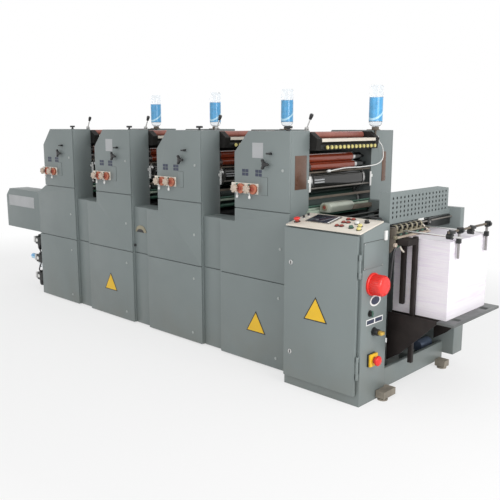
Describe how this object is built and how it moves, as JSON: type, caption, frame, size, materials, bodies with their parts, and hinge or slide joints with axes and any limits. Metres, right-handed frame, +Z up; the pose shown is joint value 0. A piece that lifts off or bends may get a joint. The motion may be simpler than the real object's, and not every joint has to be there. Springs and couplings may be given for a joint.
{
  "type": "four-colour sheet-fed offset printing press",
  "caption": "In-line sheet-fed offset press with a feeder, a row of printing units, a chain delivery with a lifting pile table, and a control console.",
  "frame": {"origin": "on the floor, at the middle of the press's bounding box seen from above", "axes": "+X from the feeder to the delivery, +Y from the operator side to the drive side, +Z up"},
  "size_m": [4.862, 1.3476, 1.9193],
  "materials": {
    "housing_paint": "semi-gloss grey-green machine paint",
    "dark_casting": "dark machined casting",
    "black_metal": "black paint",
    "cylinder_steel": "ground steel, darkened by the plate",
    "blanket_rubber": "dark green-grey blanket",
    "roller_rubber": "orange-brown rubber with ink on it",
    "key_plastic": "yellow-green moulded plastic",
    "black_plastic": "black moulded plastic",
    "copper_dial": "coppery anodised dials",
    "cream_panel": "cream enamel",
    "bottle_plastic": "clear plastic with a blue band",
    "bright_steel": "ground and polished bar",
    "foot_iron": "brown-grey cast foot",
    "beacon_red": "translucent red lens",
    "paper_white": "uncoated white sheets"
  },
  "bodies": {
    "press_frame": {"base_frame": "housing_paint", "beacon_lamp": "beacon_red", "bed_casting": "dark_casting", "bottle_holders": "dark_casting", "console_cabinet": "housing_paint", "control_panel": "cream_panel", "delivery_posts": "black_metal", "delivery_sides": "housing_paint", "drive_covers": "housing_paint", "drive_housing": "housing_paint", "feed_board": "cream_panel", "feeder_air_unit": "dark_casting", "feeder_head": "dark_casting", "feeder_pile_board": "black_metal", "feeder_side_boxes": "housing_paint", "fountain_rollers": "roller_rubber", "gripper_rails": "dark_casting", "ink_ducts": "black_metal", "ink_keys": "key_plastic", "levelling_feet": "foot_iron", "operator_covers": "housing_paint", "operator_housing": "housing_paint", "panel_controls": "black_plastic", "perforated_guard": "housing_paint", "register_controls": "copper_dial", "sheet_exit": "dark_casting", "side_controls": "black_plastic", "stop_rails": "bright_steel", "tower_knobs": "black_plastic", "unit_hoods": "black_metal", "wash_up_box": "housing_paint", "water_bottles": "bottle_plastic"},
    "blanket_cylinder_1": {"blanket_cylinder_1": "blanket_rubber"},
    "plate_cylinder_1": {"plate_cylinder_1": "cylinder_steel"},
    "form_roller_1": {"form_roller_1": "roller_rubber"},
    "ink_roller_1": {"ink_roller_1": "roller_rubber"},
    "ink_lever_1": {"ink_lever_1": "black_plastic"},
    "blanket_cylinder_2": {"blanket_cylinder_2": "blanket_rubber"},
    "plate_cylinder_2": {"plate_cylinder_2": "cylinder_steel"},
    "form_roller_2": {"form_roller_2": "roller_rubber"},
    "ink_roller_2": {"ink_roller_2": "roller_rubber"},
    "ink_lever_2": {"ink_lever_2": "black_plastic"},
    "blanket_cylinder_3": {"blanket_cylinder_3": "blanket_rubber"},
    "plate_cylinder_3": {"plate_cylinder_3": "cylinder_steel"},
    "form_roller_3": {"form_roller_3": "roller_rubber"},
    "ink_roller_3": {"ink_roller_3": "roller_rubber"},
    "ink_lever_3": {"ink_lever_3": "black_plastic"},
    "blanket_cylinder_4": {"blanket_cylinder_4": "blanket_rubber"},
    "plate_cylinder_4": {"plate_cylinder_4": "cylinder_steel"},
    "form_roller_4": {"form_roller_4": "roller_rubber"},
    "ink_roller_4": {"ink_roller_4": "roller_rubber"},
    "ink_lever_4": {"ink_lever_4": "black_plastic"},
    "console_door": {"console_door": "housing_paint"},
    "pile_table": {"pile_table": "black_metal", "table_strip": "black_metal", "paper_pile": "paper_white"},
    "rear_stops": {"rear_stops": "bright_steel"}
  },
  "joints": [
    {"name": "blanket_cylinder_1_turn", "type": "hinge", "parent": "press_frame", "child": "blanket_cylinder_1", "pos_m": [-1.291, 0.029, 1.09495], "axis": [0, 1, 0], "continuous": true},
    {"name": "plate_cylinder_1_turn", "type": "hinge", "parent": "press_frame", "child": "plate_cylinder_1", "pos_m": [-1.246, 0.029, 1.262], "axis": [0, 1, 0], "continuous": true},
    {"name": "form_roller_1_turn", "type": "hinge", "parent": "press_frame", "child": "form_roller_1", "pos_m": [-1.19824, 0.029, 1.36441], "axis": [0, 1, 0], "continuous": true},
    {"name": "ink_roller_1_turn", "type": "hinge", "parent": "press_frame", "child": "ink_roller_1", "pos_m": [-1.21774, 0.029, 1.41797], "axis": [0, 1, 0], "continuous": true},
    {"name": "ink_lever_1_swing", "type": "hinge", "parent": "press_frame", "child": "ink_lever_1", "pos_m": [-1.157, -0.345, 1.616], "axis": [0, 1, 0], "range_deg": [-55, 20]},
    {"name": "blanket_cylinder_2_turn", "type": "hinge", "parent": "press_frame", "child": "blanket_cylinder_2", "pos_m": [-0.452, 0.029, 1.09495], "axis": [0, 1, 0], "continuous": true},
    {"name": "plate_cylinder_2_turn", "type": "hinge", "parent": "press_frame", "child": "plate_cylinder_2", "pos_m": [-0.407, 0.029, 1.262], "axis": [0, 1, 0], "continuous": true},
    {"name": "form_roller_2_turn", "type": "hinge", "parent": "press_frame", "child": "form_roller_2", "pos_m": [-0.35924, 0.029, 1.36441], "axis": [0, 1, 0], "continuous": true},
    {"name": "ink_roller_2_turn", "type": "hinge", "parent": "press_frame", "child": "ink_roller_2", "pos_m": [-0.37874, 0.029, 1.41797], "axis": [0, 1, 0], "continuous": true},
    {"name": "ink_lever_2_swing", "type": "hinge", "parent": "press_frame", "child": "ink_lever_2", "pos_m": [-0.318, -0.345, 1.616], "axis": [0, 1, 0], "range_deg": [-55, 20]},
    {"name": "blanket_cylinder_3_turn", "type": "hinge", "parent": "press_frame", "child": "blanket_cylinder_3", "pos_m": [0.387, 0.029, 1.09495], "axis": [0, 1, 0], "continuous": true},
    {"name": "plate_cylinder_3_turn", "type": "hinge", "parent": "press_frame", "child": "plate_cylinder_3", "pos_m": [0.432, 0.029, 1.262], "axis": [0, 1, 0], "continuous": true},
    {"name": "form_roller_3_turn", "type": "hinge", "parent": "press_frame", "child": "form_roller_3", "pos_m": [0.47976, 0.029, 1.36441], "axis": [0, 1, 0], "continuous": true},
    {"name": "ink_roller_3_turn", "type": "hinge", "parent": "press_frame", "child": "ink_roller_3", "pos_m": [0.46026, 0.029, 1.41797], "axis": [0, 1, 0], "continuous": true},
    {"name": "ink_lever_3_swing", "type": "hinge", "parent": "press_frame", "child": "ink_lever_3", "pos_m": [0.521, -0.345, 1.616], "axis": [0, 1, 0], "range_deg": [-55, 20]},
    {"name": "blanket_cylinder_4_turn", "type": "hinge", "parent": "press_frame", "child": "blanket_cylinder_4", "pos_m": [1.226, 0.029, 1.09495], "axis": [0, 1, 0], "continuous": true},
    {"name": "plate_cylinder_4_turn", "type": "hinge", "parent": "press_frame", "child": "plate_cylinder_4", "pos_m": [1.271, 0.029, 1.262], "axis": [0, 1, 0], "continuous": true},
    {"name": "form_roller_4_turn", "type": "hinge", "parent": "press_frame", "child": "form_roller_4", "pos_m": [1.31876, 0.029, 1.36441], "axis": [0, 1, 0], "continuous": true},
    {"name": "ink_roller_4_turn", "type": "hinge", "parent": "press_frame", "child": "ink_roller_4", "pos_m": [1.29926, 0.029, 1.41797], "axis": [0, 1, 0], "continuous": true},
    {"name": "ink_lever_4_swing", "type": "hinge", "parent": "press_frame", "child": "ink_lever_4", "pos_m": [1.36, -0.345, 1.616], "axis": [0, 1, 0], "range_deg": [-55, 20]},
    {"name": "console_door_hinge", "type": "hinge", "parent": "press_frame", "child": "console_door", "pos_m": [2.017, -0.663, 0.54], "axis": [0, 0, 1], "range_deg": [0, 110]},
    {"name": "pile_table_lift", "type": "slide", "parent": "press_frame", "child": "pile_table", "axis": [0, 0, 1], "range_m": [0, 0.43], "deforming": ["paper_pile"]},
    {"name": "rear_stops_slide", "type": "slide", "parent": "press_frame", "child": "rear_stops", "axis": [1, 0, 0], "range_m": [0, 0.02]}
  ],
  "couplings": [
    {"joint": "blanket_cylinder_1_turn", "follows": "blanket_cylinder_4_turn", "ratio": 1},
    {"joint": "plate_cylinder_1_turn", "follows": "blanket_cylinder_4_turn", "ratio": -1},
    {"joint": "form_roller_1_turn", "follows": "blanket_cylinder_4_turn", "ratio": 3.3077},
    {"joint": "ink_roller_1_turn", "follows": "blanket_cylinder_4_turn", "ratio": -2.8667},
    {"joint": "blanket_cylinder_2_turn", "follows": "blanket_cylinder_4_turn", "ratio": 1},
    {"joint": "plate_cylinder_2_turn", "follows": "blanket_cylinder_4_turn", "ratio": -1},
    {"joint": "form_roller_2_turn", "follows": "blanket_cylinder_4_turn", "ratio": 3.3077},
    {"joint": "ink_roller_2_turn", "follows": "blanket_cylinder_4_turn", "ratio": -2.8667},
    {"joint": "blanket_cylinder_3_turn", "follows": "blanket_cylinder_4_turn", "ratio": 1},
    {"joint": "plate_cylinder_3_turn", "follows": "blanket_cylinder_4_turn", "ratio": -1},
    {"joint": "form_roller_3_turn", "follows": "blanket_cylinder_4_turn", "ratio": 3.3077},
    {"joint": "ink_roller_3_turn", "follows": "blanket_cylinder_4_turn", "ratio": -2.8667},
    {"joint": "plate_cylinder_4_turn", "follows": "blanket_cylinder_4_turn", "ratio": -1},
    {"joint": "form_roller_4_turn", "follows": "blanket_cylinder_4_turn", "ratio": 3.3077},
    {"joint": "ink_roller_4_turn", "follows": "blanket_cylinder_4_turn", "ratio": -2.8667}
  ]
}
